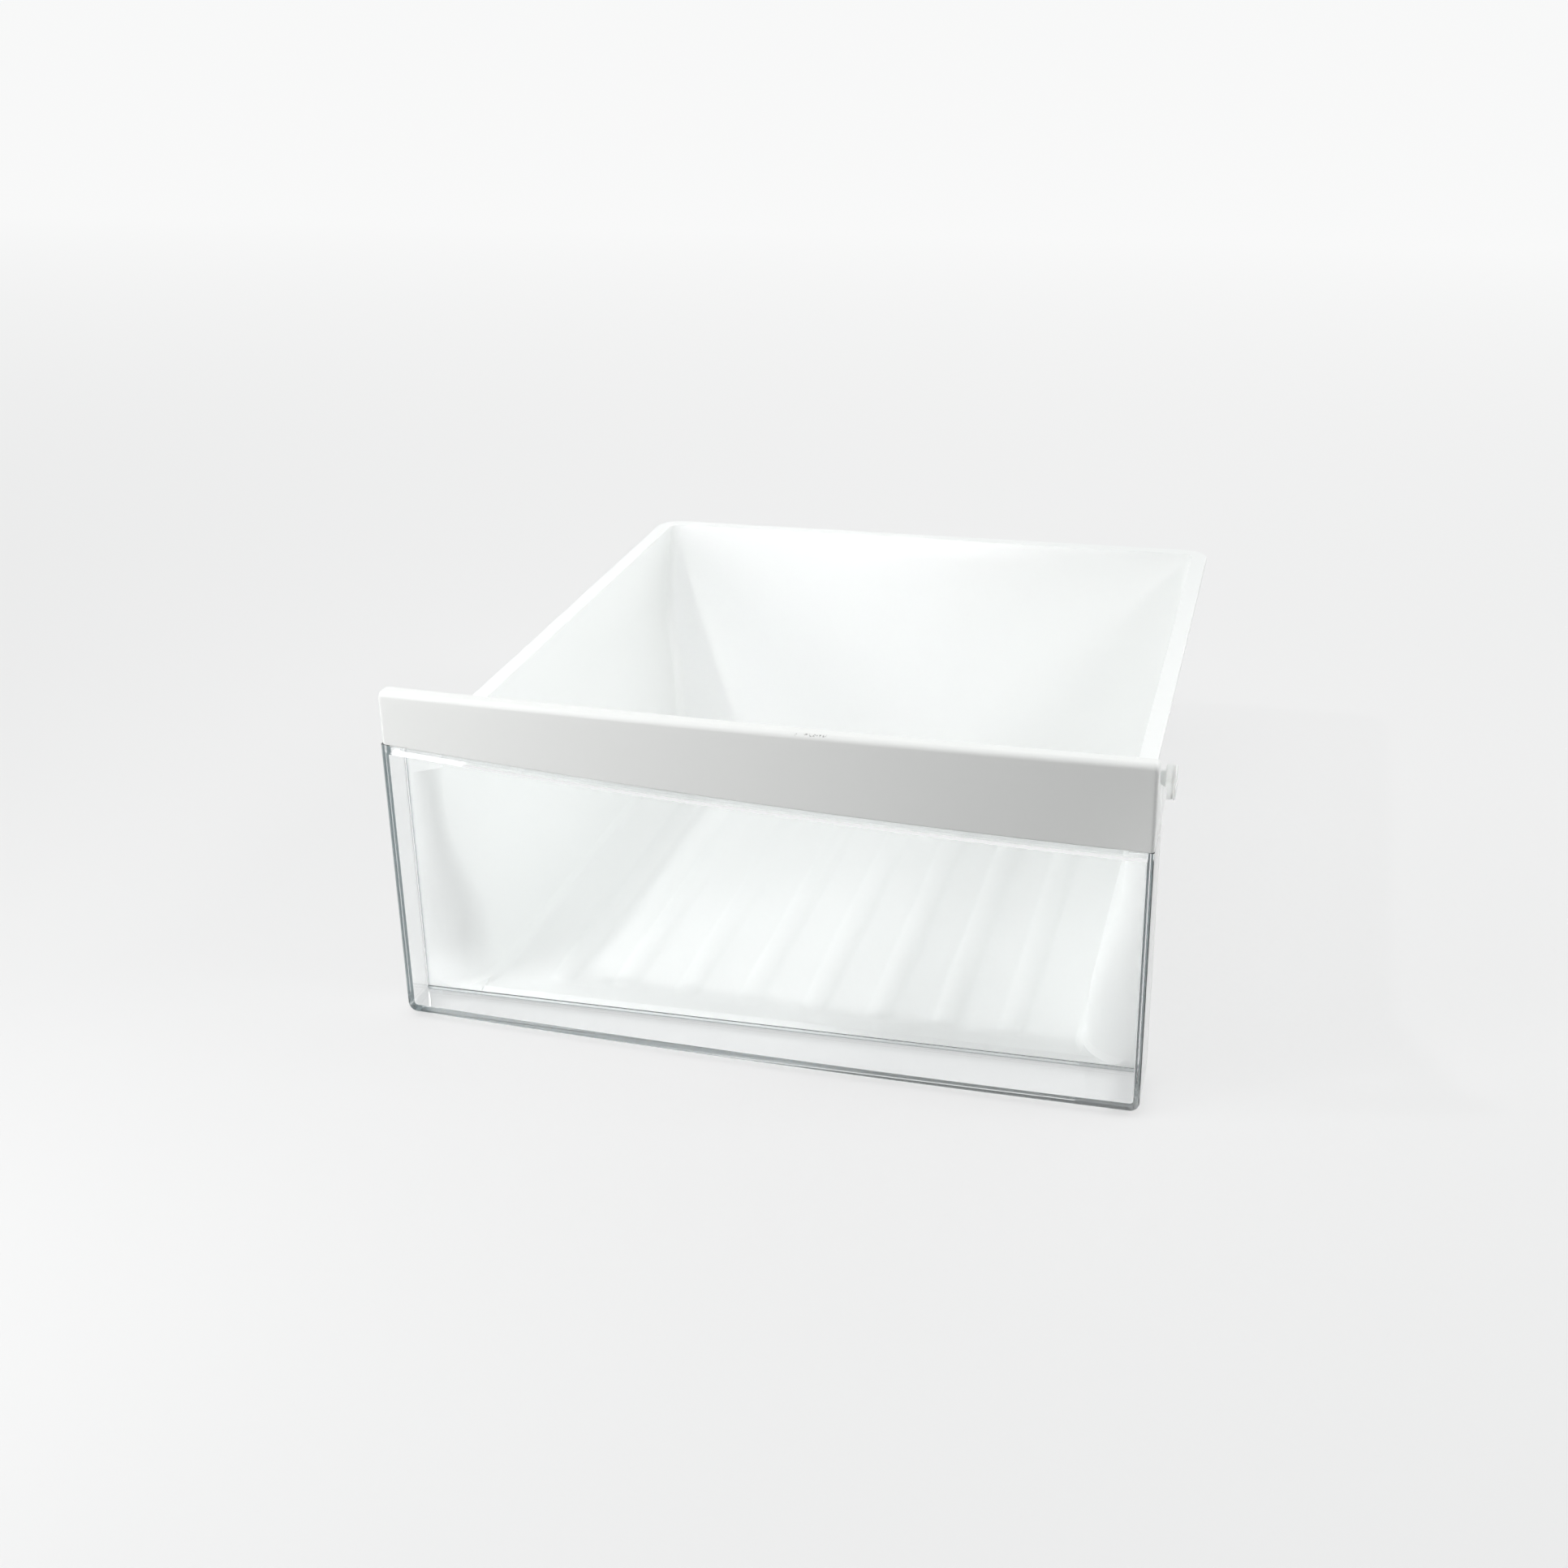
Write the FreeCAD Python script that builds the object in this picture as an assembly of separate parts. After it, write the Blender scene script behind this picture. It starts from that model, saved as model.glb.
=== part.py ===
import FreeCAD, Part
import math
import os

from FreeCAD import Vector

# Fridge crisper drawer: a white tub that is open at the front, closed there by a clear tray-shaped
# panel under a white trim bar, with a small roller on each side. Millimetres, X right, Y to the back,
# Z up. The origin is the middle of the drawer's outline on the surface that it stands on.

# Overall sizes
FRONT_WIDTH = 400.0
DEPTH = 468.0
TRIM_TOP = 192.0
RIM_TOP = 152.0

# Walls and fits
TUB_WALL = 2.5
CLEAR_WALL = 3.2
TRIM_WALL = 2.0
SEAT_GAP = 0.2

# Bowed front: square to the sides at the right end, set back at the left end
BOW = 12.5
FRONT_BOX = 36.0
FRONT_LIFT = 3.5
CLEAR_SETBACK = 0.6
CLEAR_CORNER = 5.0
CLEAR_EDGE = 1.0

# Lower edge of the trim, an arc that sinks towards the right
TRIM_EDGE_RIGHT = 146.8
TRIM_EDGE_LEFT = 162.5
TRIM_EDGE_SAG = 2.2
TRIM_DEPTH = 10.5
TRIM_LEFT_INSET = 1.0
TRIM_TOP_ROUND = 3.0
TRIM_END_ROUND = 2.4
TONGUE = 8.0

# Return flange of the clear panel, below the trim's lower edge, and its gusset in each corner
RETURN_DROP = 2.9
GUSSET_WIDTH = 9.0

# Tub walls: an S-shaped side section and a back that slopes forward towards the floor
FRAME_STRIP = 6.0
WALL_INSET = 17.6
WALL_SWELL = 16.4
SWELL_LOW = 25.0
SWELL_HIGH = 115.0
SWELL_STEPS = 6
BACK_SLOPE = 0.45
BACK_CORNER = 6.0

# Rim flange round the tub's top
RIM_WIDTH = 9.8
RIM_CORNER = 15.0
RIM_ROUND = 0.9
SHOULDER = 25.0
SHOULDER_TAPER = 20.0

# Braces that rise from the rim's front corners to the trim
BRACE_RISE = 14.4
BRACE_TIP = 2.4
BRACE_WALL = 2.5

# Floor: a cove along the walls, raised ribs, front lip, corner pads and the two skids below
COVE_ROUND = 7.0
COVE_BITE = 0.1
RIB_COUNT = 8
RIB_PITCH = 36.2
RIB_WIDTH = 18.0
RIB_HEIGHT = 1.9
RIB_START = 20.0
RIB_END = 20.0
LIP_RUN = 5.5
LIP_RISE = 2.0
LIP_FALL = 2.0
PAD_DEPTH = 18.0
PAD_RISE = 1.8
SKID_SPAN = 144.8
SKID_WIDTH = 6.0
SKID_ROUND = 2.7
SKID_INSET = 24.0

# Webs in the two upper corners of the tub's mouth
CORNER_WEB_WIDTH = 18.0
CORNER_WEB_LOW = 15.1
CORNER_WEB_HIGH = 9.6

# Rollers, each on a stub that is moulded on the tub's side
ROLLER_RADIUS = 9.5
ROLLER_WIDTH = 5.7
ROLLER_BACK = 140.0
ROLLER_HEIGHT = 123.5
ROLLER_GROOVE = 0.8
ROLLER_GROOVE_INSET = 1.2
ROLLER_CHAMFER = 0.5
HUB_RECESS = 1.6
HUB_RADIUS = 5.4
STUB_RADIUS = 3.5
STUB_CLEARANCE = 0.05
SNAP_RADIUS = 4.2
SNAP_WIDTH = 1.0
BOSS_RADIUS = 6.0

# Derived places
HALF = FRONT_WIDTH / 2
MOUTH_HALF = HALF - FRAME_STRIP
TOP_HALF = HALF - WALL_INSET
FLOOR_HALF = TOP_HALF - WALL_SWELL
Y_FRONT = -DEPTH / 2
Y_FRAME = Y_FRONT + FRONT_BOX
Y_BACK = DEPTH / 2
FLOOR = FRONT_LIFT + CLEAR_WALL
FLOOR_UNDER = FLOOR - TUB_WALL
RIM_UNDER = RIM_TOP - TUB_WALL
RIM_HALF = TOP_HALF + RIM_WIDTH
BACK_TOP = Y_BACK - RIM_WIDTH
BACK_STRETCH = math.hypot(1.0, BACK_SLOPE)
BOW_RADIUS = (FRONT_WIDTH ** 2 + BOW ** 2) / (2 * BOW)
TRIM_EDGE = Part.Arc(Vector(HALF, 0, TRIM_EDGE_RIGHT),
                     Vector(0, 0, (TRIM_EDGE_RIGHT + TRIM_EDGE_LEFT) / 2 - TRIM_EDGE_SAG),
                     Vector(-HALF, 0, TRIM_EDGE_LEFT)).toShape().Curve
SLANT = math.sqrt(0.5)

# Overrun of cutting bodies, and how near two places are to count as one
MARGIN = 5.0
NEAR = 0.01


def line(a, b):
    return Part.LineSegment(a, b).toShape()


def arc(a, middle, b):
    return Part.Arc(a, middle, b).toShape()


def prism(edges, direction):
    """Closed outline of edges, swept straight along a vector."""
    return Part.Face(Part.Wire(edges)).extrude(direction)


def polygon(points, direction):
    return Part.Face(Part.makePolygon(points + points[:1])).extrude(direction)


def box(low, high):
    size = high.sub(low)
    return Part.makeBox(size.x, size.y, size.z, low)


def mirrored(shape):
    return shape.mirror(Vector(0, 0, 0), Vector(1, 0, 0))


def joined(first, others):
    return first.multiFuse(others).removeSplitter()


def bow_y(x, inset):
    """Y of the bowed front, moved back by an inset that keeps the curve concentric."""
    reach = HALF - x
    return Y_FRONT + BOW_RADIUS - math.sqrt((BOW_RADIUS - inset) ** 2 - reach ** 2)


def bow_arc(left, right, inset, z):
    middle = (left + right) / 2
    return arc(*[Vector(x, bow_y(x, inset), z) for x in (left, middle, right)])


def bowed_slab(left, right, front_inset, back_inset, low, high):
    """Upright slab between two concentric front curves."""
    def end(x):
        return Vector(x, bow_y(x, front_inset), low), Vector(x, bow_y(x, back_inset), low)

    left_front, left_back = end(left)
    right_front, right_back = end(right)
    edges = [bow_arc(left, right, front_inset, low), line(right_front, right_back),
             bow_arc(right, left, back_inset, low), line(left_back, left_front)]
    return prism(edges, Vector(0, 0, high - low))


def on_bow(edge, inset):
    return all(abs(v.Y - bow_y(v.X, inset)) < NEAR for v in edge.Vertexes)


def edge_z(x):
    """Height of the trim's lower edge."""
    centre = TRIM_EDGE.Center
    return centre.z - math.sqrt(TRIM_EDGE.Radius ** 2 - (x - centre.x) ** 2)


def edge_block(offset, front, back, above):
    """Everything above or below the trim's lower edge, moved up by an offset, between two depths."""
    left, right = -HALF - MARGIN, HALF + MARGIN
    limit = TRIM_TOP + MARGIN if above else -MARGIN
    ends = [Vector(x, front, edge_z(x) + offset) for x in (left, 0, right)]
    far = [Vector(x, front, limit) for x in (left, right)]
    edges = [arc(*ends), line(ends[2], far[1]), line(far[1], far[0]), line(far[0], ends[0])]
    return prism(edges, Vector(0, back - front, 0))


def wall_half(z):
    """Inner half width of the tub: narrow at the floor, swelling smoothly to the rim."""
    t = min(max((z - SWELL_LOW) / (SWELL_HIGH - SWELL_LOW), 0.0), 1.0)
    return FLOOR_HALF + (TOP_HALF - FLOOR_HALF) * t * t * (3 - 2 * t)


def back_y(z):
    return BACK_TOP - BACK_SLOPE * (RIM_TOP - z)


def tub_section(z, grow, front):
    """Level outline of the tub's side and back walls, with its round mouth at the front."""
    half = wall_half(z) + grow
    back = back_y(z) + grow * BACK_STRETCH
    corner = BACK_CORNER + grow
    swing = MOUTH_HALF - wall_half(z)
    turn = swing - grow
    rear = Y_FRAME + swing

    def side(sign):
        mouth = Vector(sign * MOUTH_HALF, Y_FRAME + grow, z)
        bend = Vector(sign * (MOUTH_HALF - turn * SLANT), rear - turn * SLANT, z)
        wall = Vector(sign * half, rear, z)
        low = Vector(sign * half, back - corner, z)
        mid = Vector(sign * (half - corner * (1 - SLANT)), back - corner * (1 - SLANT), z)
        high = Vector(sign * (half - corner), back, z)
        return mouth, bend, wall, low, mid, high

    lm, lb, lw, ll, lc, lh = side(-1)
    rm, rb, rw, rl, rc, rh = side(1)
    lf = Vector(lm.x, front, z)
    rf = Vector(rm.x, front, z)
    return Part.Wire([line(lf, lm), arc(lm, lb, lw), line(lw, ll), arc(ll, lc, lh), line(lh, rh),
                      arc(rh, rc, rl), line(rl, rw), arc(rw, rb, rm), line(rm, rf), line(rf, lf)])


def tub_loft(grow, low, high, front):
    step = (SWELL_HIGH - SWELL_LOW) / SWELL_STEPS
    levels = [low] + [SWELL_LOW + step * i for i in range(SWELL_STEPS + 1)] + [high]
    return Part.makeLoft([tub_section(z, grow, front) for z in levels], True, True)


def rim_flange():
    """Flat flange round the top, wider where it meets the front frame."""
    r = RIM_CORNER
    k = r * (1 - SLANT)
    z = RIM_UNDER
    shoulder = Y_FRAME + SHOULDER

    def side(sign):
        return [Vector(sign * HALF, Y_FRAME, z), Vector(sign * HALF, shoulder, z),
                Vector(sign * RIM_HALF, shoulder + SHOULDER_TAPER, z), Vector(sign * RIM_HALF, Y_BACK - r, z),
                Vector(sign * (RIM_HALF - k), Y_BACK - k, z), Vector(sign * (RIM_HALF - r), Y_BACK, z)]

    a = side(-1)
    b = side(1)
    edges = [line(a[0], a[1]), line(a[1], a[2]), line(a[2], a[3]), arc(a[3], a[4], a[5]), line(a[5], b[5]),
             arc(b[5], b[4], b[3]), line(b[3], b[2]), line(b[2], b[1]), line(b[1], b[0]), line(b[0], a[0])]
    flange = prism(edges, Vector(0, 0, TUB_WALL))
    outer = [e for e in flange.Edges
             if e.BoundBox.ZMin > RIM_TOP - NEAR and e.CenterOfMass.y > Y_FRAME + NEAR]
    return flange.makeFillet(RIM_ROUND, outer)


def front_frame():
    """Upright flange round the tub's mouth, which the clear panel's edges butt against."""
    frame = box(Vector(-HALF, Y_FRAME, FRONT_LIFT), Vector(HALF, Y_FRAME + TUB_WALL, RIM_TOP))
    lower = [e for e in frame.Edges
             if abs(e.CenterOfMass.z - FRONT_LIFT) < NEAR and abs(abs(e.CenterOfMass.x) - HALF) < NEAR]
    return frame.makeFillet(CLEAR_CORNER, lower)


def rod(x, radius, centre_z, start, end):
    return Part.makeCylinder(radius, end - start, Vector(x, start, centre_z), Vector(0, 1, 0))


def rib_places():
    first = -RIB_PITCH * (RIB_COUNT - 1) / 2
    return [first + RIB_PITCH * i for i in range(RIB_COUNT)]


def floor_ribs():
    """Raised ribs with round ends, and the plain hollows that follow them on the underside."""
    radius = (RIB_WIDTH ** 2 / 4 + RIB_HEIGHT ** 2) / (2 * RIB_HEIGHT)
    centre_z = FLOOR + RIB_HEIGHT - radius
    start = Y_FRAME + RIB_START + RIB_WIDTH / 2
    end = back_y(FLOOR) - RIB_END - RIB_WIDTH / 2
    keep = box(Vector(-HALF, Y_FRONT, FLOOR_UNDER + TUB_WALL / 2), Vector(HALF, Y_BACK, RIM_TOP))
    ribs = []
    hollows = []
    for x in rib_places():
        caps = [Part.makeSphere(radius, Vector(x, y, centre_z)) for y in (start, end)]
        ribs.append(rod(x, radius, centre_z, start, end).multiFuse(caps).common(keep))
        hollows.append(rod(x, radius - TUB_WALL, centre_z, start, end))
    return ribs, hollows


def cove_face(corner, inward, lean):
    """Section of the cove in the corner of the floor and a wall that leans outward by an angle."""
    r = COVE_ROUND
    sunk = TUB_WALL / 2
    u = r * (1 - math.sin(lean)) / math.cos(lean) - COVE_BITE
    v = r - COVE_BITE
    middle = math.radians(225) + lean / 2

    def place(a, b):
        return corner + inward * a + Vector(0, 0, b)

    top_u = u - r * math.cos(lean)
    top_v = v - r * math.sin(lean)
    foot = place(u, v - r)
    bend = place(u + r * math.cos(middle), v + r * math.sin(middle))
    head = place(top_u, top_v)
    outline = [head, place(top_u - sunk, top_v), place(-sunk, -sunk), place(u, -sunk), foot]
    edges = [line(a, b) for a, b in zip(outline, outline[1:])]
    return Part.Face(Part.Wire([arc(foot, bend, head)] + edges))


def floor_coves(outside):
    """Coves along the side walls, round the mouth's flares and along the back wall."""
    swing = MOUTH_HALF - FLOOR_HALF
    start = Y_FRAME + swing
    back = back_y(FLOOR)
    side = cove_face(Vector(FLOOR_HALF, start, FLOOR), Vector(-1, 0, 0), 0.0)
    run = side.extrude(Vector(0, back_y(FLOOR + COVE_ROUND) - start, 0))
    flare = side.revolve(Vector(MOUTH_HALF, start, FLOOR), Vector(0, 0, 1), 90)
    rear = cove_face(Vector(-FLOOR_HALF, back, FLOOR), Vector(0, -1, 0), math.atan(BACK_SLOPE))
    rear = rear.extrude(Vector(2 * FLOOR_HALF, 0, 0))
    return [piece.common(outside) for piece in (run, mirrored(run), flare, mirrored(flare), rear)]


def front_lip():
    profile = [Vector(-MOUTH_HALF, Y_FRAME, FLOOR_UNDER), Vector(-MOUTH_HALF, Y_FRAME, FLOOR),
               Vector(-MOUTH_HALF, Y_FRAME + LIP_RUN, FLOOR + LIP_RISE),
               Vector(-MOUTH_HALF, Y_FRAME + LIP_RUN + LIP_FALL, FLOOR),
               Vector(-MOUTH_HALF, Y_FRAME + LIP_RUN + LIP_FALL, FLOOR_UNDER)]
    return polygon(profile, Vector(2 * MOUTH_HALF, 0, 0))


def corner_web():
    """Web across an upper corner of the mouth, with a sloping lower edge."""
    inner = MOUTH_HALF - CORNER_WEB_WIDTH
    points = [Vector(HALF - CLEAR_WALL, Y_FRAME, RIM_TOP - CORNER_WEB_LOW),
              Vector(inner, Y_FRAME, RIM_TOP - CORNER_WEB_HIGH),
              Vector(inner, Y_FRAME, RIM_TOP), Vector(HALF - CLEAR_WALL, Y_FRAME, RIM_TOP)]
    return polygon(points, Vector(0, TUB_WALL, 0))


def brace():
    """Upright triangular plate on the rim's front corner, behind the trim's end."""
    x = HALF - BRACE_WALL
    points = [Vector(x, Y_FRAME, RIM_UNDER), Vector(x, Y_FRAME, RIM_TOP + BRACE_RISE),
              Vector(x, Y_FRAME + SHOULDER, RIM_TOP + BRACE_TIP), Vector(x, Y_FRAME + SHOULDER, RIM_UNDER)]
    return polygon(points, Vector(BRACE_WALL, 0, 0))


def skid():
    start = Y_FRAME + SKID_INSET
    end = back_y(FLOOR) - SKID_INSET
    low = Vector(SKID_SPAN / 2 - SKID_WIDTH / 2, start, 0)
    high = Vector(SKID_SPAN / 2 + SKID_WIDTH / 2, end, FLOOR_UNDER + TUB_WALL / 2)
    body = box(low, high)
    upright = [e for e in body.Edges if e.BoundBox.ZLength > high.z - NEAR]
    return body.makeFillet(SKID_ROUND, upright)


def along_x(radius, start, end):
    centre = Vector(start, Y_FRONT + ROLLER_BACK, ROLLER_HEIGHT)
    return Part.makeCylinder(radius, end - start, centre, Vector(1, 0, 0))


def roller_stub():
    """Boss, running stub and snap head on the tub's right side."""
    inner = HALF - ROLLER_WIDTH
    web = HALF - HUB_RECESS
    wall = wall_half(ROLLER_HEIGHT) + TUB_WALL / 2
    boss = along_x(BOSS_RADIUS, wall, inner - SEAT_GAP)
    stub = along_x(STUB_RADIUS, wall, web + SEAT_GAP)
    head = along_x(SNAP_RADIUS, web + SEAT_GAP, web + SEAT_GAP + SNAP_WIDTH)
    return boss.multiFuse([stub, head])


def drawer_tub():
    cavity = tub_loft(0.0, FLOOR, RIM_TOP + MARGIN, Y_FRAME - MARGIN)
    pad = box(Vector(FLOOR_HALF, Y_FRAME, FLOOR), Vector(MOUTH_HALF, Y_FRAME + PAD_DEPTH, FLOOR + PAD_RISE))
    pad = pad.common(cavity)
    outside = tub_loft(TUB_WALL, FLOOR_UNDER, RIM_TOP, Y_FRAME)
    shell = outside.multiFuse([front_frame(), rim_flange()]).cut(cavity)
    ribs, hollows = floor_ribs()
    extras = floor_coves(outside) + ribs + [front_lip()]
    for piece in (pad, corner_web(), brace(), skid(), roller_stub()):
        extras += [piece, mirrored(piece)]
    return joined(shell, extras).cut(Part.makeCompound(hollows)).removeSplitter()


def clear_front():
    """Clear tray: bowed front plate with two sides and a bottom that run back to the tub's frame."""
    back = Y_FRAME - SEAT_GAP
    inner_half = HALF - CLEAR_WALL
    plate_back = CLEAR_SETBACK + CLEAR_WALL
    tall = TRIM_EDGE_LEFT + TONGUE + MARGIN

    def solid(half, inset, low, rear, corner, front_round):
        front = bow_arc(-half, half, inset, low)
        a = front.Vertexes[0].Point
        b = front.Vertexes[-1].Point
        c = Vector(b.x, rear, low)
        d = Vector(a.x, rear, low)
        body = prism([front, line(b, c), line(c, d), line(d, a)], Vector(0, 0, tall - low))
        sides = [e for e in body.Edges
                 if abs(e.CenterOfMass.z - low) < NEAR and abs(abs(e.CenterOfMass.x) - half) < NEAR]
        body = body.makeFillet(corner, sides)
        face = [e for e in body.Edges if e.BoundBox.ZMin < tall - NEAR and on_bow(e, inset)]
        return body.makeFillet(front_round, face)

    outer = solid(HALF, CLEAR_SETBACK, FRONT_LIFT, back, CLEAR_CORNER, CLEAR_EDGE)
    inner = solid(inner_half, plate_back, FLOOR, back + MARGIN, CLEAR_CORNER - CLEAR_WALL, CLEAR_EDGE / 2)
    tray = outer.cut(inner)

    def shelf(left, right, rear_inset, rise, fall):
        """Level shelf behind the plate, between two offsets from the trim's lower edge."""
        slab = bowed_slab(left, right, plate_back - CLEAR_WALL / 2, rear_inset, 0, tall)
        return slab.common(edge_block(fall, Y_FRONT - MARGIN, Y_FRAME, True)).cut(
            edge_block(rise, Y_FRONT - MARGIN, Y_FRAME, True))

    reach = inner_half + CLEAR_WALL / 2
    inside = inner_half - GUSSET_WIDTH
    skirt_front = TRIM_DEPTH - TRIM_WALL - SEAT_GAP
    under = -RETURN_DROP - CLEAR_WALL
    tray = joined(tray, [shelf(-reach, reach, TRIM_DEPTH, -RETURN_DROP, under),
                         shelf(inside, reach, skirt_front, -SEAT_GAP, under),
                         shelf(-reach, -inside, skirt_front, -SEAT_GAP, under)])
    plate = bowed_slab(-HALF - MARGIN, HALF, -MARGIN, TRIM_WALL + SEAT_GAP, 0, tall + MARGIN)
    rebate = plate.common(edge_block(-SEAT_GAP, Y_FRONT - MARGIN, Y_FRAME, True))
    behind = edge_block(-SEAT_GAP, Y_FRONT, Y_FRAME, True)
    behind = behind.cut(bowed_slab(-inner_half, inner_half, -MARGIN, plate_back, 0, tall + MARGIN * 2))
    top = edge_block(TONGUE, Y_FRONT - MARGIN, Y_FRAME, True)
    return tray.cut(rebate).cut(behind).cut(top).removeSplitter()


def front_trim():
    """Hollow bar over the clear panel's upper edge, with an end cheek on each side."""
    left = -HALF + TRIM_LEFT_INSET
    skirt_drop = RETURN_DROP - SEAT_GAP
    low = TRIM_EDGE_RIGHT - skirt_drop - MARGIN
    bar = bowed_slab(left, HALF, 0.0, TRIM_DEPTH, low, TRIM_TOP)
    posts = [e for e in bar.Edges if on_bow(e, 0.0) and abs(e.CenterOfMass.x) > HALF / 2]
    bar = bar.makeFillet(TRIM_END_ROUND, posts)
    tops = [e for e in bar.Edges if e.BoundBox.ZMin > TRIM_TOP - NEAR]
    bar = bar.makeFillet(TRIM_TOP_ROUND, tops)

    def cheek(sign, end):
        """End plate that runs back to the tub's frame over the clear panel's side."""
        x = end - sign * TRIM_WALL
        lower = edge_z(end)
        start = bow_y(end - sign * TRIM_WALL, TRIM_END_ROUND)
        rear = Y_FRAME - SEAT_GAP
        slope = (BRACE_RISE - BRACE_TIP) / SHOULDER
        deep = bow_y(end - sign * TRIM_WALL, TRIM_DEPTH - TRIM_TOP_ROUND)
        crest = RIM_TOP + BRACE_RISE
        peak = crest + slope * (rear - deep)
        points = [Vector(x, start, lower), Vector(x, rear, lower), Vector(x, rear, crest),
                  Vector(x, deep, peak), Vector(x, start, peak)]
        return polygon(points, Vector(sign * TRIM_WALL, 0, 0))

    hollow = bowed_slab(left + TRIM_WALL, HALF - TRIM_WALL, TRIM_WALL, TRIM_DEPTH - TRIM_WALL,
                        low - MARGIN, TRIM_TOP - TRIM_WALL)
    bar = joined(bar, [cheek(1, HALF), cheek(-1, left)]).cut(hollow)
    under_front = edge_block(0.0, Y_FRONT - MARGIN, Y_FRAME + MARGIN, False)
    reach = HALF - CLEAR_WALL - SEAT_GAP
    skirt = bowed_slab(-reach, reach, TRIM_DEPTH - TRIM_WALL, TRIM_DEPTH, low, TRIM_TOP)
    under_skirt = edge_block(-skirt_drop, Y_FRONT - MARGIN, Y_FRAME + MARGIN, False)
    return bar.cut(under_front.cut(skirt)).cut(under_skirt).removeSplitter()


def roller(sign):
    """Small grooved wheel with a recessed hub, turned about X."""
    r = ROLLER_RADIUS
    bore = STUB_RADIUS + STUB_CLEARANCE
    inner = HALF - ROLLER_WIDTH
    groove = HALF - ROLLER_GROOVE_INSET
    c = ROLLER_CHAMFER
    g = ROLLER_GROOVE
    web = HALF - HUB_RECESS
    outline = [(inner, bore), (inner, r - c), (inner + c, r), (groove - g, r), (groove - g, r - g),
               (groove, r - g), (groove, r), (HALF - c, r), (HALF, r - c), (HALF, HUB_RADIUS),
               (web, HUB_RADIUS), (web, bore)]
    y = Y_FRONT + ROLLER_BACK
    points = [Vector(x, y, ROLLER_HEIGHT + radius) for x, radius in outline]
    wheel = Part.Face(Part.makePolygon(points + points[:1]))
    wheel = wheel.revolve(Vector(0, y, ROLLER_HEIGHT), Vector(1, 0, 0), 360)
    return wheel if sign > 0 else mirrored(wheel)


def export(name, shape):
    solids = shape.Solids
    if len(solids) != 1 or not solids[0].isValid():
        raise ValueError("%s is not one valid solid" % name)
    solids[0].exportStep("parts/%s.step" % name)


os.makedirs("parts", exist_ok=True)
export("drawer_tub", drawer_tub())
export("clear_front", clear_front())
export("front_trim", front_trim())
export("right_roller", roller(1))
export("left_roller", roller(-1))
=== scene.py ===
import math

import bmesh
import bpy
from mathutils import Matrix, Vector


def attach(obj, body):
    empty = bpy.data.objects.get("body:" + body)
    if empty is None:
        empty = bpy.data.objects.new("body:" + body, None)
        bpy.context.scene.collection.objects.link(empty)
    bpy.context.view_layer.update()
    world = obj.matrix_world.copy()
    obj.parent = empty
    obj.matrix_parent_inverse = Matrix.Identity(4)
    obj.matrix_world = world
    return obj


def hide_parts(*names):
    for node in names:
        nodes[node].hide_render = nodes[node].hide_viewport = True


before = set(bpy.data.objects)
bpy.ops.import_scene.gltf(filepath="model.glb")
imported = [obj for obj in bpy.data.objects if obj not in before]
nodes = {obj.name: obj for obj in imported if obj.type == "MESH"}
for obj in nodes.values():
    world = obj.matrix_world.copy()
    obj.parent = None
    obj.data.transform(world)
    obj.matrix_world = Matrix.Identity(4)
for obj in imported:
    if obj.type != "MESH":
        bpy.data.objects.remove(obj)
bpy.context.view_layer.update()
scene = bpy.context.scene

# Sockets of a colour Mix node, which share their names with those of other kinds
MIX_FACTOR, MIX_COLOUR_A, MIX_COLOUR_B, MIX_COLOUR_OUT = 0, 6, 7, 2

# Plastics: noise scales per metre, depths in metres
CLOUD_SCALE, GLOSS_SCALE, HAZE_SCALE, SCUFF_SCALE = 9.0, 60.0, 45.0, 420.0
GLOSS_SPREAD = 0.04
GRAIN_DEPTH = 0.0002
WHITE_IOR, CLEAR_IOR = 1.5, 1.57
# The bead's tint is painted shade: its grey darkens the bead to stand in for the shaded face along the tub's
# lower front edge
CLEAR_TINT, BEAD_SHADE_TINT = (0.985, 0.992, 0.992), (0.90, 0.92, 0.93)
CLEAR_HAZE = 0.03
CLEAR_DEEP, CLEAR_DENSITY = (0.74, 0.78, 0.79), 9.0
TOP_SCUFF_LOW, TOP_SCUFF_HIGH = (0.024, -0.2313, 0.1890), (0.042, -0.2295, 0.1935)
SCUFF_SHADE = (0.30, 0.30, 0.29)

# Shading of the solids: weld distance in metres, sharp edges by angle
WELD = 2e-6
SHARP_ANGLE = math.radians(32.0)


# Node helpers
def grey(level):
    return (level, level, level, 1.0)


def new_material(name):
    mat = bpy.data.materials.new(name)
    mat.use_nodes = True
    mat.node_tree.nodes.clear()
    return mat, mat.node_tree


def add(tree, kind, links=None, **values):
    """New node; values set its attributes, links maps input names or places to a socket or a plain value."""
    node = tree.nodes.new(kind)
    for key, value in values.items():
        setattr(node, key, value)
    for key, value in (links or {}).items():
        socket = node.inputs[key]
        if isinstance(value, bpy.types.NodeSocket):
            tree.links.new(value, socket)
        else:
            socket.default_value = value
    return node


def ramp(tree, factor, stops):
    node = add(tree, "ShaderNodeValToRGB", {"Fac": factor})
    elements = node.color_ramp.elements
    while len(elements) < len(stops):
        elements.new(0.5)
    for element, (place, colour) in zip(elements, stops):
        element.position = place
        element.color = (*colour, 1.0)
    return node.outputs["Color"]


def noise(tree, where, scale, detail=2.0, rough=0.5):
    links = {"Vector": where, "Scale": scale, "Detail": detail, "Roughness": rough}
    return add(tree, "ShaderNodeTexNoise", links).outputs["Fac"]


def spread(tree, value, low, high, start=0.3, end=0.7):
    """Value mapped from start and end to low and high, and held there beyond them."""
    links = {"Value": value, "From Min": start, "From Max": end, "To Min": low, "To Max": high}
    return add(tree, "ShaderNodeMapRange", links).outputs["Result"]


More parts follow.
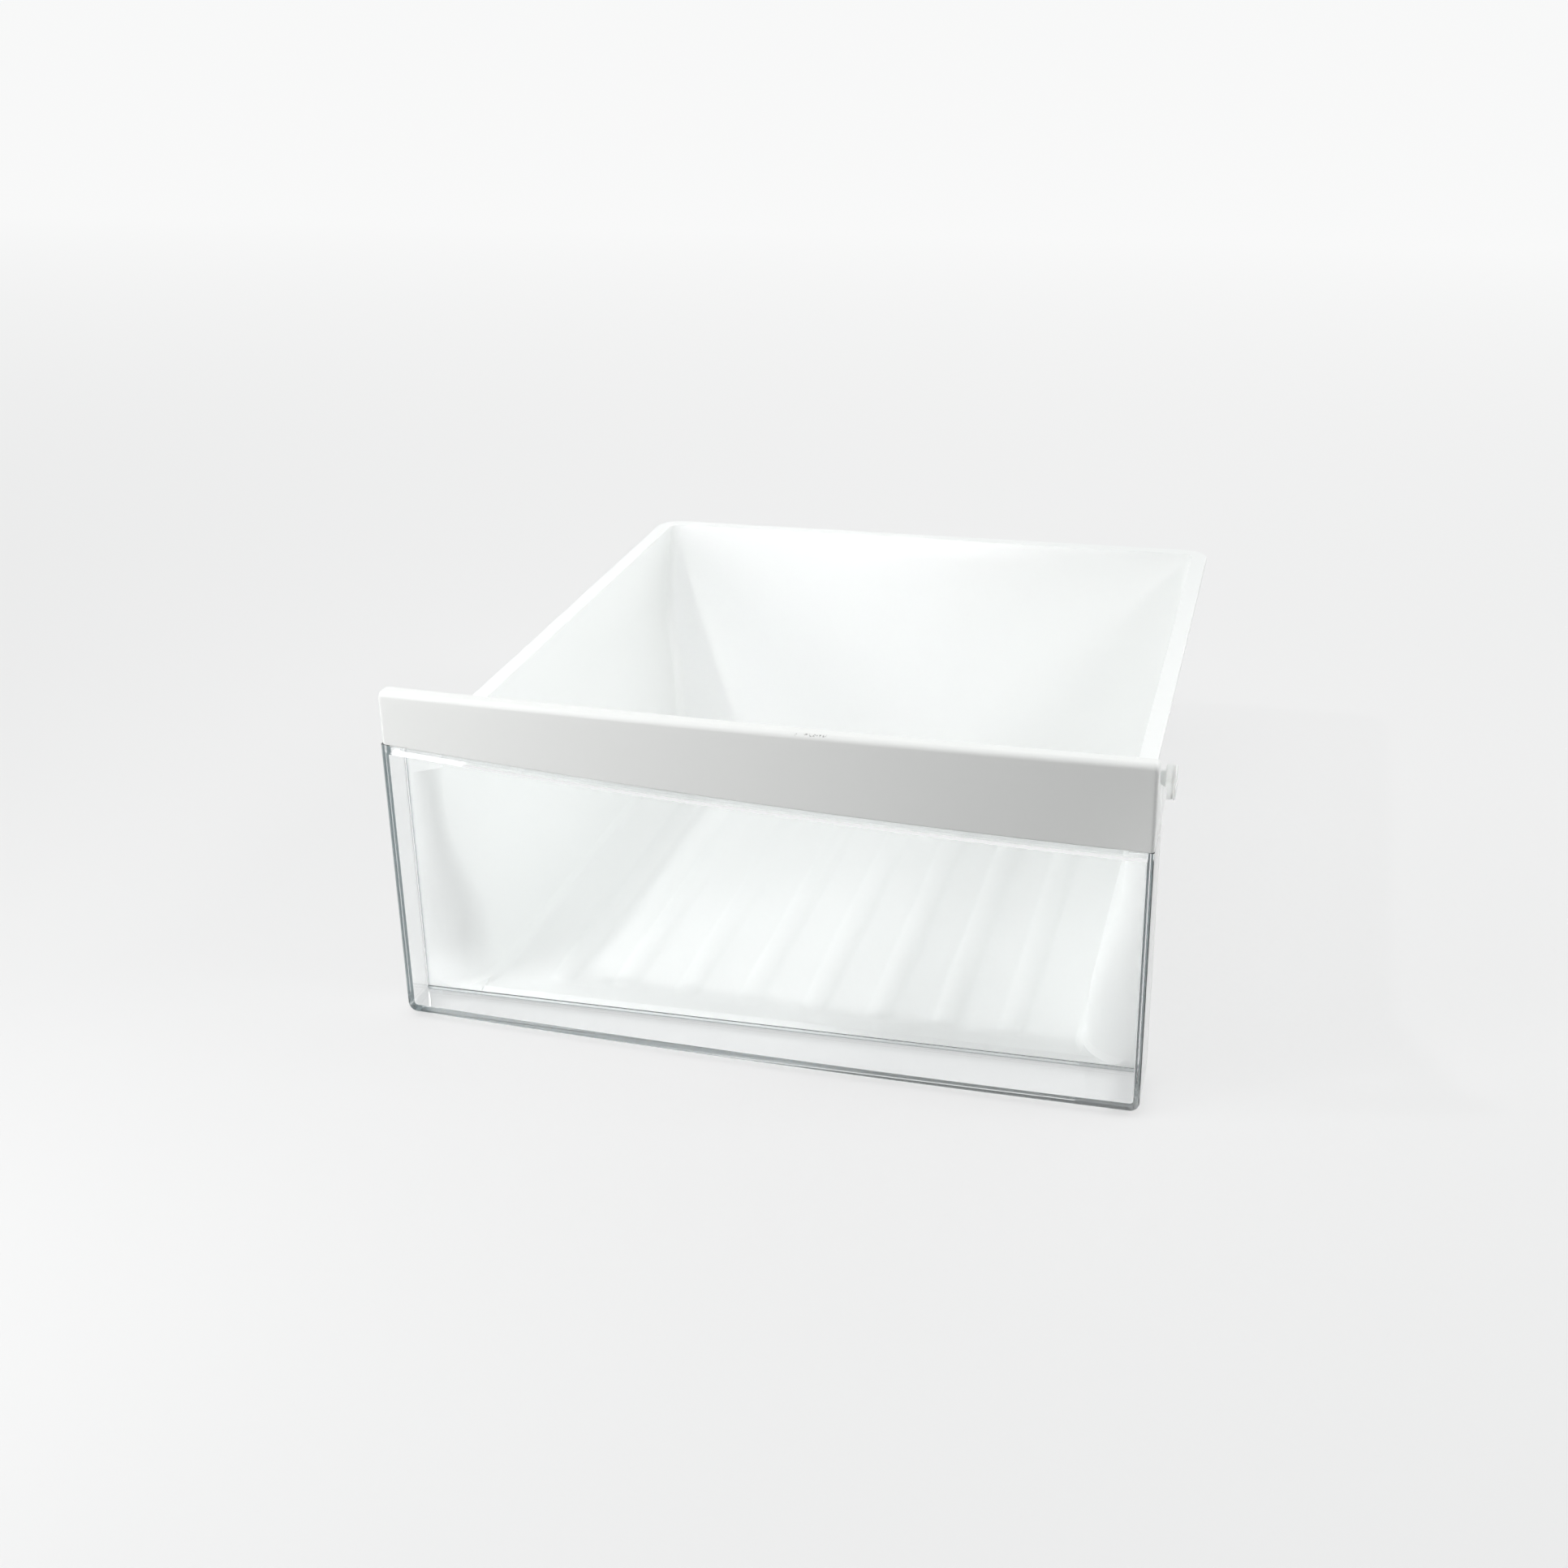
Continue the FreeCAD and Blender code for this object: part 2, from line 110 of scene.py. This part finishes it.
def larger(tree, a, b):
    return add(tree, "ShaderNodeMath", {0: a, 1: b}, operation="MAXIMUM").outputs[0]


def between(tree, factor, a, b):
    return add(tree, "ShaderNodeMix", {"Factor": factor, "A": a, "B": b}, data_type="FLOAT").outputs[0]


def output(tree, surface, volume=None):
    links = {"Surface": surface}
    if volume is not None:
        links["Volume"] = volume
    add(tree, "ShaderNodeOutputMaterial", links)


# Materials
def scuffed(tree, where, colour, low, high, shade):
    """Colour with small dark scuffs inside a box of the object, in metres."""
    axes = add(tree, "ShaderNodeSeparateXYZ", {"Vector": where}).outputs
    mask = spread(tree, noise(tree, where, SCUFF_SCALE, 4.0, 0.7), 0.0, 1.0, 0.53, 0.60)
    for axis, start, end in zip("XYZ", low, high):
        edge = (end - start) / 6
        for near, far in ((start, start + edge), (end, end - edge)):
            inside = spread(tree, axes[axis], 0.0, 1.0, near, far)
            mask = add(tree, "ShaderNodeMath", {0: mask, 1: inside}, operation="MULTIPLY").outputs[0]
    links = {MIX_FACTOR: mask, MIX_COLOUR_A: colour, MIX_COLOUR_B: (*shade, 1.0)}
    return add(tree, "ShaderNodeMix", links, data_type="RGBA").outputs[MIX_COLOUR_OUT]


def moulded_white(name, dark, light, rough, grain, grain_scale, scuff=None):
    """White moulded plastic: faint cloudiness, a fine satin grain and slightly uneven gloss."""
    mat, tree = new_material(name)
    where = add(tree, "ShaderNodeTexCoord").outputs["Object"]
    colour = ramp(tree, noise(tree, where, CLOUD_SCALE, 3.0), [(0.3, dark), (0.7, light)])
    if scuff:
        colour = scuffed(tree, where, colour, *scuff)
    uneven = noise(tree, where, GLOSS_SCALE, 4.0)
    gloss = spread(tree, uneven, rough - GLOSS_SPREAD, rough + GLOSS_SPREAD)
    height = noise(tree, where, grain_scale, 2.0)
    bump = add(tree, "ShaderNodeBump", {"Height": height, "Strength": grain, "Distance": GRAIN_DEPTH})
    links = {"Base Color": colour, "Roughness": gloss, "Normal": bump.outputs["Normal"], "IOR": WHITE_IOR}
    shader = add(tree, "ShaderNodeBsdfPrincipled", links)
    output(tree, shader.outputs["BSDF"])
    return mat


def clear_plastic(name, tint, passed):
    """Polished, slightly hazy clear styrene that passes a share of the lamps' light and greys with depth."""
    mat, tree = new_material(name)
    where = add(tree, "ShaderNodeTexCoord").outputs["Object"]
    haze = spread(tree, noise(tree, where, HAZE_SCALE, 5.0, 0.6), 0.0, CLEAR_HAZE, 0.45, 0.75)
    links = {"Base Color": (*tint, 1.0), "Roughness": haze, "IOR": CLEAR_IOR, "Transmission Weight": 1.0}
    glass = add(tree, "ShaderNodeBsdfPrincipled", links)
    passing = add(tree, "ShaderNodeBsdfTransparent", {"Color": grey(passed)})
    path = add(tree, "ShaderNodeLightPath")
    mix = add(tree, "ShaderNodeMixShader", {0: path.outputs["Is Shadow Ray"], 1: glass.outputs["BSDF"],
                                            2: passing.outputs["BSDF"]})
    links = {"Color": (*CLEAR_DEEP, 1.0), "Density": CLEAR_DENSITY}
    inside = add(tree, "ShaderNodeVolumeAbsorption", links)
    output(tree, mix.outputs["Shader"], inside.outputs["Volume"])
    return mat


WHITE_TUB = moulded_white("white_tub", (0.935, 0.946, 0.940), (0.946, 0.956, 0.951), 0.48, 0.05, 1600.0)
WHITE_TRIM = moulded_white("white_trim", (0.858, 0.866, 0.855), (0.872, 0.880, 0.868), 0.45, 0.07, 1900.0,
                           (TOP_SCUFF_LOW, TOP_SCUFF_HIGH, SCUFF_SHADE))
ROLLER = moulded_white("roller", (0.850, 0.860, 0.850), (0.880, 0.890, 0.880), 0.32, 0.04, 2600.0)
CLEAR = clear_plastic("clear_front", CLEAR_TINT, 0.72)
CLEAR_RIM = clear_plastic("clear_rim", CLEAR_TINT, 1.0)
CLEAR_FOOT = clear_plastic("clear_foot", CLEAR_TINT, 0.0)
# Painted shade: the bead's glass is tinted grey to stand in for the shaded face along the tub's lower front
# edge
CLEAR_BEAD_SHADED = clear_plastic("clear_bead_painted_shade", BEAD_SHADE_TINT, 0.85)


# Shading of the solids
def smoothing_group():
    """Geometry nodes that weld a solid's mesh and shade it smooth, with sharp edges kept."""
    tree = bpy.data.node_groups.new("smooth_solid", "GeometryNodeTree")
    tree.interface.new_socket("Geometry", in_out="INPUT", socket_type="NodeSocketGeometry")
    tree.interface.new_socket("Geometry", in_out="OUTPUT", socket_type="NodeSocketGeometry")
    start = add(tree, "NodeGroupInput")
    welded = add(tree, "GeometryNodeMergeByDistance", {"Geometry": start.outputs[0], "Distance": WELD})
    bare = add(tree, "GeometryNodeRemoveAttribute", {"Geometry": welded.outputs[0], "Name": "custom_normal"})
    smooth = add(tree, "GeometryNodeSetShadeSmooth", {"Geometry": bare.outputs[0], "Shade Smooth": True},
                 domain="FACE")
    angle = add(tree, "GeometryNodeInputMeshEdgeAngle").outputs["Unsigned Angle"]
    soft = add(tree, "FunctionNodeCompare", {"A": angle, "B": SHARP_ANGLE}, data_type="FLOAT",
               operation="LESS_THAN").outputs["Result"]
    edged = add(tree, "GeometryNodeSetShadeSmooth", {"Geometry": smooth.outputs[0], "Shade Smooth": soft},
                domain="EDGE")
    add(tree, "NodeGroupOutput", {0: edged.outputs[0]})
    return tree


SMOOTHING = smoothing_group()


def shade(piece):
    piece.modifiers.new("smooth_solid", "NODES").node_group = SMOOTHING
    weights = piece.modifiers.new("weights", "WEIGHTED_NORMAL")
    weights.mode = "FACE_AREA"
    weights.keep_sharp = True


for node, mat in (("drawer_tub", WHITE_TUB), ("right_roller", ROLLER), ("left_roller", ROLLER)):
    solid = nodes[node]
    for i in range(len(solid.data.materials)):
        solid.data.materials[i] = mat
    shade(solid)


# Sizes of the front, in millimetres: the solids' own, and those of small forms added here
MM = 0.001
HALF = 200.0
Y_FRONT = -234.0
FRONT_BACK = -198.2
BOW = 12.5
BOW_RADIUS = (4 * HALF ** 2 + BOW ** 2) / (2 * BOW)
SEAT_GAP = 0.2
EDGE_RIGHT, EDGE_LEFT, EDGE_SAG = 146.8, 162.5, 2.2
CLEAR_WALL, CLEAR_SETBACK, CLEAR_LOW, CLEAR_CORNER, CLEAR_EDGE = 3.2, 0.6, 3.5, 5.0, 1.0
TONGUE, RETURN_DROP, GUSSET_WIDTH = 8.0, 2.9, 9.0
REAR_CHAMFER, LEAST_CORNER = 0.3, 0.4
BEAD_RISE, BEAD_DEPTH, BEAD_GAP, BEAD_ROOT = 2.2, 1.4, 0.5, 1.0
TRIM_TOP, TRIM_DEPTH, TRIM_WALL = 192.0, 10.5, 2.0
TRIM_LEFT, TOP_ROUND, END_ROUND, LOW_ROUND, UNDER_START = -199.0, 3.0, 2.4, 0.8, 0.5
CHEEK_CREST, CHEEK_SLOPE, CHEEK_INSET = 166.4, 0.48, 0.02
FLAT, SAME_POINT = 0.05, 1e-4

# Steps of the curves
CORNER_STEPS, EDGE_STEPS, FRONT_STEPS, END_STEPS = 8, 6, 120, 8
TRIM_STEPS, TRIM_END_STEPS, TRIM_FACE_STEPS, LOW_STEPS = 140, 10, 6, 4

# Material slots of the clear panel, and the faces that get them: by reach from the corner and by upward slope
RIM_SLOT, BEAD_SHADE_SLOT, FOOT_SLOT = 1, 2, 3
FOOT_REACH = 3 * CLEAR_CORNER
FACING_DOWN, NEAR_LEVEL = -0.2, 0.9


def bow_y(x, inset):
    """Y of the bowed front at an inset from its face."""
    return Y_FRONT + BOW_RADIUS - math.sqrt((BOW_RADIUS - inset) ** 2 - (HALF - x) ** 2)


def edge_z(x):
    """Height of the trim's lower edge: an arc through its two ends and its middle."""
    middle = (EDGE_RIGHT + EDGE_LEFT) / 2
    tilt = (EDGE_RIGHT - EDGE_LEFT) / (2 * HALF)
    chord = HALF * math.sqrt(1 + tilt ** 2)
    along = x * math.sqrt(1 + tilt ** 2)
    sag = EDGE_SAG / math.sqrt(1 + tilt ** 2)
    radius = (chord ** 2 + sag ** 2) / (2 * sag)
    drop = math.sqrt(radius ** 2 - along ** 2) - (radius - sag)
    return middle + tilt * x - drop * math.sqrt(1 + tilt ** 2)


def steps(start, end, count):
    return [start + (end - start) * i / count for i in range(count + 1)]


class Builder:
    """Collects points in millimetres and faces, and makes one closed mesh object of them."""

    def __init__(self):
        self.mesh = bmesh.new()

    def row(self, points):
        return [self.mesh.verts.new([c * MM for c in p]) for p in points]

    def face(self, verts):
        self.mesh.faces.new(verts)

    def strip(self, a, b):
        for i in range(len(a) - 1):
            self.face((a[i], a[i + 1], b[i + 1], b[i]))

    def prism(self, outline, shift):
        """Closed prism of an outline, moved by a shift."""
        a = self.row(outline)
        b = self.row([[p[i] + shift[i] for i in range(3)] for p in outline])
        self.face(a)
        self.face(b[::-1])
        self.strip(a + a[:1], b + b[:1])

    def done(self, name):
        bmesh.ops.recalc_face_normals(self.mesh, faces=self.mesh.faces)
        data = bpy.data.meshes.new(name)
        self.mesh.to_mesh(data)
        self.mesh.free()
        piece = bpy.data.objects.new(name, data)
        scene.collection.objects.link(piece)
        return piece


def unite(piece, others):
    """Joins other closed pieces to a piece, as one skin."""
    for other in others:
        union = piece.modifiers.new("union", "BOOLEAN")
        union.operation = "UNION"
        union.solver = "EXACT"
        union.object = other
    whole = piece.evaluated_get(bpy.context.evaluated_depsgraph_get())
    data = bpy.data.meshes.new_from_object(whole)
    piece.modifiers.clear()
    piece.data = data
    for other in others:
        bpy.data.objects.remove(other)


def fit_on(piece, node, mat):
    piece.data.materials.clear()
    piece.data.materials.append(mat)
    shade(piece)
    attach(piece, "drawer")
    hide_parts(node)


def make_clear_front():
    """Clear tray: bowed plate with rounded edges, two sides, a bottom and the tongue under the trim."""
    build = Builder()
    plate_back = CLEAR_SETBACK + CLEAR_WALL
    inner_round = CLEAR_EDGE / 2

    def chain(e):
        """Lower outline from the left side's foot round to the right side's, at an inset from outside."""
        half = HALF - e
        low = CLEAR_LOW + e
        r = max(CLEAR_CORNER - e, LEAST_CORNER)
        turns = steps(0, math.pi / 2, CORNER_STEPS)
        left = [(-half + r - r * math.cos(t), low + r - r * math.sin(t)) for t in turns]
        right = [(-x, z) for x, z in reversed(left)]
        middle = [(x, low) for x in steps(-half + r, half - r, FRONT_STEPS)][1:-1]
        return left + middle + right

    def place(points, inset, y=None):
        return [(x, bow_y(x, inset) if y is None else y, z) for x, z in points]

    def loop(e, inset, y=None):
        points = chain(e)
        ends = [(sign * (HALF - e), edge_z(sign * HALF) - SEAT_GAP) for sign in (-1, 1)]
        return build.row(place(ends[:1] + points + ends[1:], inset, y))

    rounds = steps(0, math.pi / 2, EDGE_STEPS)
    rear_rim = FRONT_BACK - REAR_CHAMFER
    loops = [loop(CLEAR_EDGE * (1 - math.sin(t)), CLEAR_SETBACK + CLEAR_EDGE * (1 - math.cos(t)))
             for t in rounds]
    loops += [loop(0.0, 0.0, rear_rim), loop(REAR_CHAMFER, 0.0, FRONT_BACK)]
    loops += [loop(CLEAR_WALL - REAR_CHAMFER, 0.0, FRONT_BACK), loop(CLEAR_WALL, 0.0, rear_rim)]
    loops += [loop(CLEAR_WALL + inner_round * (1 - math.cos(t)), plate_back + inner_round * (1 - math.sin(t)))
              for t in rounds]
    for a, b in zip(loops, loops[1:]):
        build.strip(a, b)
    front, inner = loops[0], loops[-1]

    def top_row(verts, inset, rise):
        """Upper row over a lower chain's points, at the trim's edge moved up by a rise."""
        xs = [v.co.x / MM for v in verts[1:-1]]
        return build.row([(x, bow_y(x, inset), edge_z(x) + rise) for x in xs])

    face_top = top_row(front, CLEAR_SETBACK, -SEAT_GAP)
    shelf = top_row(inner, TRIM_WALL + SEAT_GAP, -SEAT_GAP)
    tongue_front = top_row(inner, TRIM_WALL + SEAT_GAP, TONGUE)
    tongue_back = top_row(inner, plate_back, TONGUE)
    face_top[0], face_top[-1] = front[0], front[-1]
    build.strip(front[1:-1], face_top)
    build.strip(face_top, shelf)
    build.strip(shelf, tongue_front)
    build.strip(tongue_front, tongue_back)
    low = inner[1:-1]
    build.strip(low[1:-1], tongue_back[1:-1])
    build.face((inner[0], low[0], low[1], tongue_back[1], tongue_back[0]))
    build.face((inner[-1], low[-1], low[-2], tongue_back[-2], tongue_back[-1]))
    for i in (0, -1):
        build.face((inner[i], shelf[i], tongue_front[i], tongue_back[i]))
        build.face([ring[i] for ring in loops] + [shelf[i]])
    loose = [v for v in build.mesh.verts if not v.link_faces]
    bmesh.ops.delete(build.mesh, geom=loose, context="VERTS")
    piece = build.done("clear_panel")

    def ledge(left, right, rear_inset, rise, count):
        """Shelf behind the plate, from below the return flange up to an offset from the trim's lower edge."""
        part = Builder()
        fall = -RETURN_DROP - CLEAR_WALL
        front_inset = plate_back - CLEAR_WALL / 2
        corners = [(front_inset, fall), (rear_inset, fall), (rear_inset, rise), (front_inset, rise)]
        rows = [part.row([(x, bow_y(x, inset), edge_z(x) + z) for inset, z in corners])
                for x in steps(left, right, count)]
        for a, b in zip(rows, rows[1:]):
            part.strip(a + a[:1], b + b[:1])
        part.face(rows[0])
        part.face(rows[-1])
        return part.done("ledge")

    def bead():
        """Low upturned bead along the rear of the tray's bottom."""
        part = Builder()
        low = CLEAR_LOW + CLEAR_WALL
        r = BEAD_DEPTH / 2
        rear = FRONT_BACK - BEAD_GAP
        outline = [(rear, low - BEAD_ROOT)]
        outline += [(rear - r + r * math.cos(t), low + BEAD_RISE - r + r * math.sin(t))
                    for t in steps(0, math.pi, CORNER_STEPS)]
        outline += [(rear - BEAD_DEPTH, low - BEAD_ROOT)]
        half = HALF - CLEAR_WALL / 2
        part.prism([(-half, y, z) for y, z in outline], (2 * half, 0, 0))
        return part.done("bead")

    reach = HALF - CLEAR_WALL / 2
    inside = HALF - CLEAR_WALL - GUSSET_WIDTH
    skirt_front = TRIM_DEPTH - TRIM_WALL - SEAT_GAP
    unite(piece, [ledge(-reach, reach, TRIM_DEPTH, -RETURN_DROP, FRONT_STEPS),
                  ledge(inside, reach, skirt_front, -SEAT_GAP, END_STEPS),
                  ledge(-reach, -inside, skirt_front, -SEAT_GAP, END_STEPS), bead()])
    fit_on(piece, "clear_front", CLEAR)
    piece.data.materials.append(CLEAR_RIM)
    piece.data.materials.append(CLEAR_BEAD_SHADED)
    piece.data.materials.append(CLEAR_FOOT)
    inner_low = CLEAR_LOW + CLEAR_WALL
    bead_front = FRONT_BACK - BEAD_GAP - BEAD_DEPTH
    for polygon in piece.data.polygons:
        x, y, z = (c / MM for c in polygon.center)
        slope = polygon.normal.z
        if y > bead_front - FLAT and inner_low < z < inner_low + BEAD_RISE:
            # Painted shade: the bead's faces get the grey-tinted glass that stands in for shade along the
            # tub's lower front edge
            polygon.material_index = BEAD_SHADE_SLOT
        elif y > FRONT_BACK - REAR_CHAMFER - FLAT:
            polygon.material_index = RIM_SLOT
        elif z < inner_low and slope < FACING_DOWN and abs(x) > HALF - FOOT_REACH:
            polygon.material_index = FOOT_SLOT
        elif z < inner_low + 2 * FLAT and abs(slope) > NEAR_LEVEL:
            polygon.material_index = RIM_SLOT


def make_trim():
    """Hollow trim bar over the panel's upper edge, with rounded top and ends and a cheek at each end."""
    build = Builder()
    arcs = steps(0, math.pi / 2, CORNER_STEPS)
    reach = HALF - CLEAR_WALL - SEAT_GAP
    roof = TRIM_TOP - TRIM_WALL
    rear = TRIM_DEPTH - TRIM_WALL

    def drop(r, d):
        return r - math.sqrt(r * r - (r - d) ** 2) if d < r else 0.0

    def section(x, skirted, hollow):
        """Closed section at x: face, rounded top and back, then the hollow inside or a plain underside."""
        d = min(x - TRIM_LEFT, HALF - x)
        face = drop(END_ROUND, d)
        top = TRIM_TOP - drop(TOP_ROUND, d)
        low = edge_z(x)
        rear_low = low - RETURN_DROP + SEAT_GAP if skirted else low
        r = min(LOW_ROUND, TRIM_WALL + UNDER_START - FLAT - face)
        turns = steps(0, math.pi / 2, LOW_STEPS)
        outer = [(face + r - r * math.sin(t), low + r - r * math.cos(t)) for t in turns]
        r = TOP_ROUND
        outer += [(face, z) for z in steps(outer[-1][1], top - r, TRIM_FACE_STEPS)[1:]]
        outer += [(face + r - r * math.cos(t), top - r + r * math.sin(t)) for t in arcs[1:]]
        outer += [(TRIM_DEPTH - r + r * math.sin(t), top - r + r * math.cos(t)) for t in arcs]
        outer += [(TRIM_DEPTH, z) for z in steps(top - r, rear_low, TRIM_FACE_STEPS)[1:]]
        inner = [(rear, rear_low), (rear, roof), (TRIM_WALL, roof), (TRIM_WALL, low)]
        if not hollow:
            # As many points as the hollow has, so that the rows match
            inner = [(inset, low) for inset in steps(rear, TRIM_WALL + UNDER_START, 3)]
        return [(x, bow_y(x, inset), z) for inset, z in outer + inner]

    ends = [TOP_ROUND * (1 - math.cos(t)) for t in steps(0, math.pi / 2, TRIM_END_STEPS)]
    left = [(TRIM_LEFT + d, False, False) for d in ends if d < TRIM_WALL]
    right = [(HALF - d, False, False) for d in reversed(ends) if d < TRIM_WALL]
    a, b = TRIM_LEFT + TRIM_WALL, HALF - TRIM_WALL
    inside = [(x, True, True) for x in steps(-reach, reach, TRIM_STEPS)]
    stations = left + [(a, False, False), (a, False, True), (-reach, False, True)] + inside
    stations += [(reach, False, True), (b, False, True), (b, False, False)] + right
    rows = [build.row(section(*station)) for station in stations]
    for one, two in zip(rows, rows[1:]):
        build.strip(one + one[:1], two + two[:1])
    build.face(rows[0])
    build.face(rows[-1])
    bmesh.ops.remove_doubles(build.mesh, verts=build.mesh.verts, dist=SAME_POINT * MM)
    piece = build.done("trim_bar")

    def cheek(sign, end):
        """End plate that runs back to the tub over the clear panel's side."""
        part = Builder()
        x = end - sign * TRIM_WALL
        deep = bow_y(x, TRIM_DEPTH - TOP_ROUND)
        peak = CHEEK_CREST + CHEEK_SLOPE * (FRONT_BACK - deep)
        low = edge_z(end)
        outline = [(x, deep, low), (x, FRONT_BACK, low), (x, FRONT_BACK, CHEEK_CREST), (x, deep, peak)]
        part.prism(outline, (sign * (TRIM_WALL - CHEEK_INSET), 0, 0))
        return part.done("cheek")

    unite(piece, [cheek(1, HALF), cheek(-1, TRIM_LEFT)])
    fit_on(piece, "front_trim", WHITE_TRIM)


make_clear_front()
make_trim()


# Stage, in metres: levels of the floor and the surround, and the viewpoint solved from the photograph
FLOOR_REACH = 40.0
FLOOR_NEAR, FLOOR_FAR = 0.56, 0.80
FLOOR_SHOWN, FLOOR_BOUNCE = 0.25, 0.28
SKY_FRONT, SKY_TOP, SKY_LEFT, SKY_RIGHT = 0.05, 0.42, 0.95, 1.7
SKY_TINT = (0.98, 1.0, 0.995)
SEEN_WHITE, SEEN_FRONT = 0.92, 0.2
YAW, PITCH, ROLL = (math.radians(a) for a in (15.219, 23.745, -1.185))
VIEWPOINT = (0.2589, -1.1107, 0.5657)

# Camera, in millimetres
LENS, SENSOR = 46.77, 36.0

# Lamps: name, place, aim and size in metres, power in watts, beam in degrees
LAMPS = (
    ("overhead", (0.0, -0.65, 1.50), (0.0, 0.05, 0.0), (1.0, 1.0), 3.65, 180.0),
    ("key", (-0.63, -0.45, 1.10), (0.0, 0.1, 0.1), (0.05, 0.05), 2.5, 180.0),
    ("right_fill", (0.95, -0.10, 0.95), (-0.1, 0.1, 0.08), (0.3, 0.3), 2.8, 180.0),
    ("left_fill", (-0.65, -0.80, 0.35), (0.0, -0.23, 0.15), (0.3, 0.4), 2.05, 120.0),
    ("rear_wash", (-0.25, -0.50, 1.60), (-0.13, 0.21, 0.10), (0.2, 0.2), 0.04, 16.0),
    ("side_kick", (0.85, -1.10, 0.17), (0.22, -0.12, 0.11), (0.08, 0.08), 0.025, 10.0),
    ("edge_sheet", (-0.15, -1.50, 0.05), (-0.09, -0.20, 0.004), (0.25, 0.01), 0.005, 3.0),
)


def floor_material():
    """White sweep: a plain white that keeps the shadow where it is seen, a pale diffuse floor for bounces."""
    mat, tree = new_material("floor")
    path = add(tree, "ShaderNodeLightPath")
    seen = larger(tree, path.outputs["Is Camera Ray"], path.outputs["Is Glossy Ray"])
    seen = larger(tree, seen, path.outputs["Is Transmission Ray"])
    where = add(tree, "ShaderNodeNewGeometry").outputs["Position"]
    away = add(tree, "ShaderNodeSeparateXYZ", {"Vector": where}).outputs["Y"]
    far = add(tree, "ShaderNodeVectorMath", {0: where}, operation="LENGTH").outputs["Value"]
    behind = spread(tree, away, FLOOR_NEAR, FLOOR_FAR, -1.0, 2.5)
    around = spread(tree, far, FLOOR_NEAR, FLOOR_FAR, 1.0, 4.0)
    level = larger(tree, behind, around)
    glow = add(tree, "ShaderNodeEmission", {"Color": grey(1.0), "Strength": level})
    shadowed = add(tree, "ShaderNodeBsdfDiffuse", {"Color": grey(FLOOR_SHOWN)})
    shown = add(tree, "ShaderNodeAddShader", {0: glow.outputs[0], 1: shadowed.outputs[0]})
    plain = add(tree, "ShaderNodeBsdfDiffuse", {"Color": grey(FLOOR_BOUNCE)})
    mix = add(tree, "ShaderNodeMixShader", {0: seen, 1: plain.outputs[0], 2: shown.outputs[0]})
    output(tree, mix.outputs["Shader"])
    return mat


def make_floor():
    size = FLOOR_REACH
    mesh = bpy.data.meshes.new("floor")
    corners = [(-size, -size, 0.0), (size, -size, 0.0), (size, size, 0.0), (-size, size, 0.0)]
    mesh.from_pydata(corners, [], [(0, 1, 2, 3)])
    floor = bpy.data.objects.new("floor", mesh)
    scene.collection.objects.link(floor)
    mesh.materials.append(floor_material())


def make_world():
    """Soft studio surround: bright behind, softer above, dim in front, and plain white where it is seen."""
    world = bpy.data.worlds.new("studio")
    scene.world = world
    world.use_nodes = True
    tree = world.node_tree
    tree.nodes.clear()
    where = add(tree, "ShaderNodeTexCoord").outputs["Generated"]
    axes = add(tree, "ShaderNodeSeparateXYZ", {"Vector": where}).outputs
    side = spread(tree, axes["Y"], 0.0, 1.0, -0.45, 0.05)
    strong = spread(tree, axes["X"], SKY_LEFT, SKY_RIGHT, -0.6, 0.6)
    around = between(tree, side, SKY_FRONT, strong)
    up = spread(tree, axes["Z"], 0.0, 1.0, 0.45, 0.8)
    level = between(tree, up, around, SKY_TOP)
    lit = add(tree, "ShaderNodeBackground", {"Color": (*SKY_TINT, 1.0), "Strength": level})
    through = spread(tree, axes["Y"], SEEN_FRONT, SEEN_WHITE, -0.4, 0.0)
    path = add(tree, "ShaderNodeLightPath")
    seen = between(tree, path.outputs["Is Camera Ray"], through, SEEN_WHITE)
    white = add(tree, "ShaderNodeBackground", {"Color": grey(1.0), "Strength": seen})
    shown = larger(tree, path.outputs["Is Camera Ray"], path.outputs["Is Transmission Ray"])
    mix = add(tree, "ShaderNodeMixShader", {0: shown, 1: lit.outputs[0], 2: white.outputs[0]})
    add(tree, "ShaderNodeOutputWorld", {"Surface": mix.outputs["Shader"]})


def area_light(name, place, aim, size, power, beam):
    lamp = bpy.data.lights.new(name, "AREA")
    lamp.shape = "RECTANGLE"
    lamp.size, lamp.size_y = size
    lamp.energy = power
    lamp.spread = math.radians(beam)
    light = bpy.data.objects.new(name, lamp)
    light.location = place
    light.rotation_euler = (Vector(aim) - Vector(place)).to_track_quat("-Z", "Y").to_euler()
    scene.collection.objects.link(light)


def make_camera():
    """Camera at the photograph's viewpoint, turned by yaw, pitch and roll."""
    ahead = Vector((-math.sin(YAW) * math.cos(PITCH), math.cos(YAW) * math.cos(PITCH), -math.sin(PITCH)))
    right = Vector((math.cos(YAW), math.sin(YAW), 0.0))
    up = right.cross(ahead)
    right, up = (right * math.cos(ROLL) + up * math.sin(ROLL), up * math.cos(ROLL) - right * math.sin(ROLL))
    data = bpy.data.cameras.new("camera")
    data.sensor_fit = "HORIZONTAL"
    data.sensor_width = SENSOR
    data.lens = LENS
    camera = bpy.data.objects.new("camera", data)
    turn = Matrix((right, up, -ahead)).transposed().to_4x4()
    camera.matrix_world = Matrix.Translation(VIEWPOINT) @ turn
    scene.collection.objects.link(camera)
    scene.camera = camera


make_floor()
make_world()
for lamp in LAMPS:
    area_light(*lamp)
make_camera()
scene.view_settings.view_transform = "Standard"
